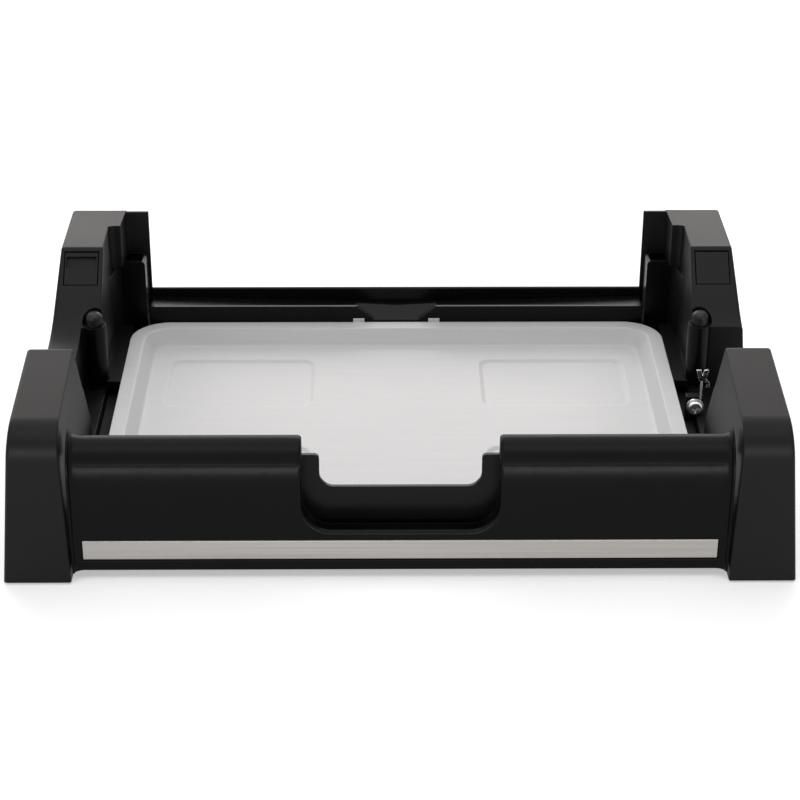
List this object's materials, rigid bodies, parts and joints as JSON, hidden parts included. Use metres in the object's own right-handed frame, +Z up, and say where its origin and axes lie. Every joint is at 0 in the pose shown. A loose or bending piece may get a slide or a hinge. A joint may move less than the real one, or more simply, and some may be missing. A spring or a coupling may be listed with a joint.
{
  "type": "electric grill base",
  "caption": "Base of an electric table grill: black side housings with sprung plungers and lock buttons, rolled front panel with grip, drain trough, lift-out aluminium drip tray",
  "frame": {"origin": "under the middle of the base, on the surface that its feet rest on", "axes": "+X to the right as seen from the front, +Y to the rear, +Z up"},
  "size_m": [0.4798, 0.32, 0.1142],
  "materials": {
    "housing_plastic": "fine-textured black moulding",
    "panel_plastic": "satin black moulding",
    "liner_plastic": "black moulding, lightly glossy",
    "cover_plastic": "plain black moulding",
    "button_plastic": "satin black moulding",
    "plunger_plastic": "smooth black moulding",
    "strip_steel": "brushed lengthwise",
    "tray_aluminium": "pressed sheet, satin",
    "foot_rubber": "soft black rubber",
    "screw_steel": "plated",
    "spring_steel": "drawn wire",
    "hook_nickel": "bright plated sheet"
  },
  "bodies": {
    "base": {"left_side_housing": "housing_plastic", "right_side_housing": "housing_plastic", "left_bottom_cover": "cover_plastic", "right_bottom_cover": "cover_plastic", "rubber_feet": "foot_rubber", "cover_screws": "screw_steel", "base_pan": "cover_plastic", "front_panel": "panel_plastic", "front_trim_strip": "strip_steel", "grip_liner": "liner_plastic", "rear_wall": "liner_plastic", "drain_trough": "liner_plastic", "left_hinge_socket": "liner_plastic", "right_hinge_socket": "liner_plastic", "left_plunger_guide": "liner_plastic", "right_plunger_guide": "liner_plastic", "left_plunger_spring": "spring_steel", "right_plunger_spring": "spring_steel", "left_button_spring": "spring_steel", "right_button_spring": "spring_steel", "catch_washer": "screw_steel", "catch_screw": "screw_steel", "pan_screws": "screw_steel", "panel_screws": "screw_steel", "rear_screws": "screw_steel", "socket_screws": "screw_steel"},
    "tray": {"drip_tray": "tray_aluminium"},
    "left_plunger_body": {"left_plunger": "plunger_plastic"},
    "right_plunger_body": {"right_plunger": "plunger_plastic"},
    "left_button_body": {"left_lock_button": "button_plastic"},
    "right_button_body": {"right_lock_button": "button_plastic"},
    "catch_body": {"catch_arm": "spring_steel", "catch_hook": "hook_nickel"}
  },
  "joints": [
    {"name": "tray_lift", "type": "slide", "parent": "base", "child": "tray", "axis": [0, 0, 1], "range_m": [0, 0.1]},
    {"name": "left_plunger_press", "type": "slide", "parent": "base", "child": "left_plunger_body", "axis": [0, 0, -1], "range_m": [0, 0.006], "stiffness_N_per_m": 150, "springref_m": -0.008, "deforming": ["left_plunger_spring"]},
    {"name": "right_plunger_press", "type": "slide", "parent": "base", "child": "right_plunger_body", "axis": [0, 0, -1], "range_m": [0, 0.006], "stiffness_N_per_m": 150, "springref_m": -0.008, "deforming": ["right_plunger_spring"]},
    {"name": "left_button_press", "type": "slide", "parent": "base", "child": "left_button_body", "axis": [0, 0.6884, -0.7254], "range_m": [0, 0.003], "stiffness_N_per_m": 300, "springref_m": -0.005, "deforming": ["left_button_spring"]},
    {"name": "right_button_press", "type": "slide", "parent": "base", "child": "right_button_body", "axis": [0, 0.6884, -0.7254], "range_m": [0, 0.003], "stiffness_N_per_m": 300, "springref_m": -0.005, "deforming": ["right_button_spring"]},
    {"name": "catch_turn", "type": "hinge", "parent": "base", "child": "catch_body", "pos_m": [0.1985, 0.01, 0.0305], "axis": [0, 1, 0], "range_deg": [-6, 6], "stiffness_Nm_per_rad": 0.2}
  ]
}
